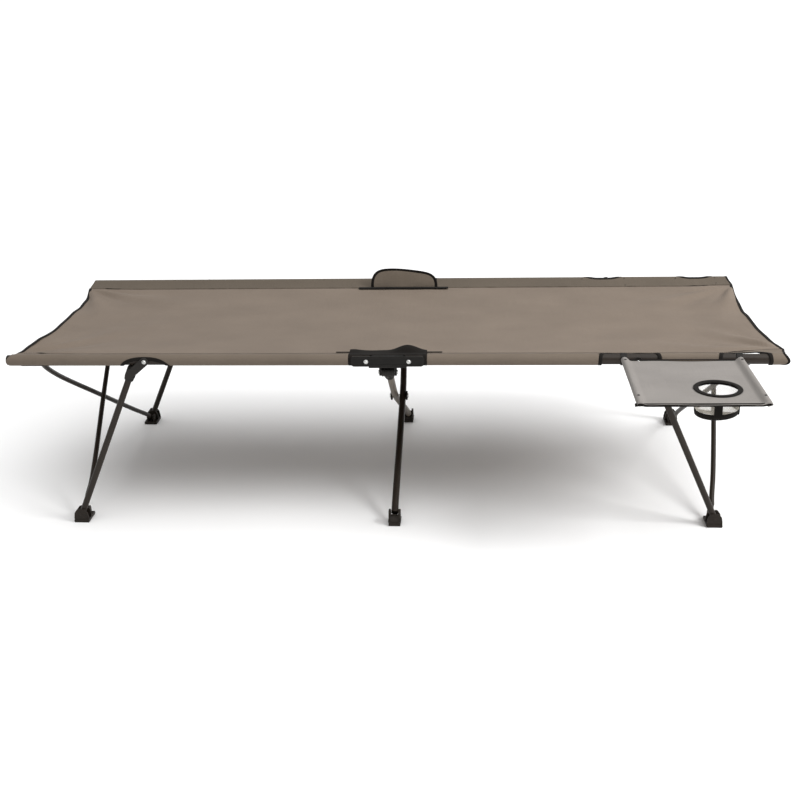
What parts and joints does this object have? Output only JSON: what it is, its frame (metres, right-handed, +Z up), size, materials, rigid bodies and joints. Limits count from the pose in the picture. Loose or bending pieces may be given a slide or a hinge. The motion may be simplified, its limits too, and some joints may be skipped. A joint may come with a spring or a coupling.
{
  "type": "folding cot",
  "caption": "Folding camp cot: fabric bed on hinged tube rails, scissor centre legs, braced end legs and a flip-up side table with cup holder.",
  "frame": {"origin": "on the floor, at the middle of the whole outline with the side table out: halfway along the cot, and halfway between the table front and the far rail", "axes": "+X along the cot towards the side table, +Y from the side table's rail towards the other rail, +Z up"},
  "size_m": [1.903, 1.0296, 0.5147],
  "materials": {
    "tube_coating": "satin dark bronze powder coat",
    "moulded_plastic": "fine grained black nylon",
    "bolt_steel": "bright zinc plate",
    "bed_fabric": "taupe woven polyester",
    "binding_tape": "black woven tape",
    "table_fabric": "light grey woven polyester",
    "cup_mesh": "off-white open mesh"
  },
  "bodies": {
    "center_near_foot": {"center_near_foot": "moulded_plastic"},
    "center_leg_a": {"center_leg_a": "tube_coating", "center_cross_bolt": "bolt_steel", "far_center_knuckle": "moulded_plastic"},
    "center_leg_b": {"center_leg_b": "tube_coating", "near_center_knuckle": "moulded_plastic"},
    "center_far_foot": {"center_far_foot": "moulded_plastic"},
    "near_center_hinge": {"near_center_hinge": "moulded_plastic", "near_center_pin": "bolt_steel", "near_left_hinge_bolt": "bolt_steel", "near_right_hinge_bolt": "bolt_steel", "sling_center": "bed_fabric", "near_hinge_flap": "bed_fabric"},
    "far_center_hinge": {"far_center_hinge": "moulded_plastic", "far_center_pin": "bolt_steel", "far_left_hinge_bolt": "bolt_steel", "far_right_hinge_bolt": "bolt_steel", "far_hinge_flap": "bed_fabric"},
    "near_left_rail": {"near_left_rail": "tube_coating", "near_left_rail_cap": "moulded_plastic", "near_left_sleeve": "bed_fabric", "near_left_leg_bolt": "bolt_steel", "sling_left": "bed_fabric"},
    "near_left_leg": {"near_left_leg": "tube_coating", "near_left_leg_socket": "moulded_plastic"},
    "near_left_foot": {"near_left_foot": "moulded_plastic"},
    "near_left_brace": {"near_left_brace": "tube_coating"},
    "near_right_rail": {"near_right_rail": "tube_coating", "near_right_rail_cap": "moulded_plastic", "near_right_sleeve": "bed_fabric", "near_right_leg_bolt": "bolt_steel", "sling_right": "bed_fabric", "table_left_hook": "moulded_plastic", "table_right_hook": "moulded_plastic"},
    "near_right_leg": {"near_right_leg": "tube_coating", "near_right_leg_socket": "moulded_plastic"},
    "near_right_foot": {"near_right_foot": "moulded_plastic"},
    "near_right_brace": {"near_right_brace": "tube_coating"},
    "far_left_rail": {"far_left_rail": "tube_coating", "far_left_rail_cap": "moulded_plastic", "far_left_sleeve": "bed_fabric", "far_left_leg_bolt": "bolt_steel"},
    "far_left_leg": {"far_left_leg": "tube_coating", "far_left_leg_socket": "moulded_plastic"},
    "far_left_foot": {"far_left_foot": "moulded_plastic"},
    "far_left_brace": {"far_left_brace": "tube_coating"},
    "far_right_rail": {"far_right_rail": "tube_coating", "far_right_rail_cap": "moulded_plastic", "far_right_sleeve": "bed_fabric", "far_right_leg_bolt": "bolt_steel"},
    "far_right_leg": {"far_right_leg": "tube_coating", "far_right_leg_socket": "moulded_plastic"},
    "far_right_foot": {"far_right_foot": "moulded_plastic"},
    "far_right_brace": {"far_right_brace": "tube_coating"},
    "side_table": {"table_top": "table_fabric", "table_left_tube": "tube_coating", "table_right_tube": "tube_coating", "table_front_bar": "tube_coating", "cup_ring": "binding_tape", "cup_basket": "cup_mesh"}
  },
  "joints": [
    {"name": "fold", "type": "hinge", "parent": "center_near_foot", "child": "center_leg_a", "pos_m": [0.006, -0.205, 0.022], "axis": [1, 0, 0], "range_deg": [0, 44.84], "deforming": ["sling_left", "sling_center", "sling_right"]},
    {"name": "center_scissor", "type": "hinge", "parent": "center_leg_a", "child": "center_leg_b", "pos_m": [0, 0.145, 0.218], "axis": [-1, 0, 0], "range_deg": [0, 89.74]},
    {"name": "near_hinge_tilt", "type": "hinge", "parent": "center_leg_b", "child": "near_center_hinge", "pos_m": [0, -0.205, 0.414], "axis": [1, 0, 0], "range_deg": [0, 44.87]},
    {"name": "far_hinge_tilt", "type": "hinge", "parent": "center_leg_a", "child": "far_center_hinge", "pos_m": [0, 0.495, 0.414], "axis": [-1, 0, 0], "range_deg": [0, 44.87]},
    {"name": "center_far_foot_tilt", "type": "hinge", "parent": "center_leg_b", "child": "center_far_foot", "pos_m": [0.002, 0.495, 0.022], "axis": [1, 0, 0], "range_deg": [0, 44.87]},
    {"name": "near_left_rail_fold", "type": "hinge", "parent": "near_center_hinge", "child": "near_left_rail", "pos_m": [-0.052, -0.205, 0.446], "axis": [0, -1, 0], "range_deg": [0, 38.03]},
    {"name": "near_left_leg_fold", "type": "hinge", "parent": "near_left_rail", "child": "near_left_leg", "pos_m": [-0.6, -0.205, 0.446], "axis": [0, -1, 0], "range_deg": [0, 106.97]},
    {"name": "near_left_foot_tilt", "type": "hinge", "parent": "near_left_leg", "child": "near_left_foot", "pos_m": [-0.814, -0.203, 0.022], "axis": [0, 1, 0], "range_deg": [0, 31.44]},
    {"name": "near_left_brace_fold", "type": "hinge", "parent": "near_left_foot", "child": "near_left_brace", "pos_m": [-0.814, -0.17745, 0.022], "axis": [0.9875, 0, 0.1574], "range_deg": [0, 44.63]},
    {"name": "near_right_rail_fold", "type": "hinge", "parent": "near_center_hinge", "child": "near_right_rail", "pos_m": [0.052, -0.205, 0.446], "axis": [0, 1, 0], "range_deg": [0, 38.03]},
    {"name": "near_right_leg_fold", "type": "hinge", "parent": "near_right_rail", "child": "near_right_leg", "pos_m": [0.6, -0.205, 0.446], "axis": [0, 1, 0], "range_deg": [0, 106.97]},
    {"name": "near_right_foot_tilt", "type": "hinge", "parent": "near_right_leg", "child": "near_right_foot", "pos_m": [0.814, -0.203, 0.022], "axis": [0, -1, 0], "range_deg": [0, 31.44]},
    {"name": "near_right_brace_fold", "type": "hinge", "parent": "near_right_foot", "child": "near_right_brace", "pos_m": [0.814, -0.17745, 0.022], "axis": [0.9875, 0, -0.1574], "range_deg": [0, 44.63]},
    {"name": "far_left_rail_fold", "type": "hinge", "parent": "far_center_hinge", "child": "far_left_rail", "pos_m": [-0.052, 0.495, 0.446], "axis": [0, -1, 0], "range_deg": [0, 38.03]},
    {"name": "far_left_leg_fold", "type": "hinge", "parent": "far_left_rail", "child": "far_left_leg", "pos_m": [-0.6, 0.495, 0.446], "axis": [0, -1, 0], "range_deg": [0, 106.97]},
    {"name": "far_left_foot_tilt", "type": "hinge", "parent": "far_left_leg", "child": "far_left_foot", "pos_m": [-0.814, 0.493, 0.022], "axis": [0, 1, 0], "range_deg": [0, 31.44]},
    {"name": "far_left_brace_fold", "type": "hinge", "parent": "far_left_foot", "child": "far_left_brace", "pos_m": [-0.814, 0.46745, 0.022], "axis": [-0.9875, 0, -0.1574], "range_deg": [0, 44.63]},
    {"name": "far_right_rail_fold", "type": "hinge", "parent": "far_center_hinge", "child": "far_right_rail", "pos_m": [0.052, 0.495, 0.446], "axis": [0, 1, 0], "range_deg": [0, 38.03]},
    {"name": "far_right_leg_fold", "type": "hinge", "parent": "far_right_rail", "child": "far_right_leg", "pos_m": [0.6, 0.495, 0.446], "axis": [0, 1, 0], "range_deg": [0, 106.97]},
    {"name": "far_right_foot_tilt", "type": "hinge", "parent": "far_right_leg", "child": "far_right_foot", "pos_m": [0.814, 0.493, 0.022], "axis": [0, -1, 0], "range_deg": [0, 31.44]},
    {"name": "far_right_brace_fold", "type": "hinge", "parent": "far_right_foot", "child": "far_right_brace", "pos_m": [0.814, 0.46745, 0.022], "axis": [-0.9875, 0, 0.1574], "range_deg": [0, 44.63]},
    {"name": "table_flip", "type": "hinge", "parent": "near_right_rail", "child": "side_table", "pos_m": [0.7035, -0.229, 0.45], "axis": [-1, 0, 0], "range_deg": [0, 90]}
  ],
  "couplings": [
    {"joint": "center_scissor", "follows": "fold", "ratio": 2},
    {"joint": "near_hinge_tilt", "follows": "fold", "ratio": 1},
    {"joint": "far_hinge_tilt", "follows": "fold", "ratio": 1},
    {"joint": "center_far_foot_tilt", "follows": "fold", "ratio": 1},
    {"joint": "near_left_rail_fold", "follows": "fold", "ratio": 0.84754},
    {"joint": "near_left_leg_fold", "follows": "fold", "ratio": 2.3839},
    {"joint": "near_left_foot_tilt", "follows": "fold", "ratio": 0.70062},
    {"joint": "near_left_brace_fold", "follows": "fold", "ratio": 0.99461},
    {"joint": "near_right_rail_fold", "follows": "fold", "ratio": 0.84754},
    {"joint": "near_right_leg_fold", "follows": "fold", "ratio": 2.3839},
    {"joint": "near_right_foot_tilt", "follows": "fold", "ratio": 0.70062},
    {"joint": "near_right_brace_fold", "follows": "fold", "ratio": 0.99461},
    {"joint": "far_left_rail_fold", "follows": "fold", "ratio": 0.84754},
    {"joint": "far_left_leg_fold", "follows": "fold", "ratio": 2.3839},
    {"joint": "far_left_foot_tilt", "follows": "fold", "ratio": 0.70062},
    {"joint": "far_left_brace_fold", "follows": "fold", "ratio": 0.99461},
    {"joint": "far_right_rail_fold", "follows": "fold", "ratio": 0.84754},
    {"joint": "far_right_leg_fold", "follows": "fold", "ratio": 2.3839},
    {"joint": "far_right_foot_tilt", "follows": "fold", "ratio": 0.70062},
    {"joint": "far_right_brace_fold", "follows": "fold", "ratio": 0.99461}
  ]
}
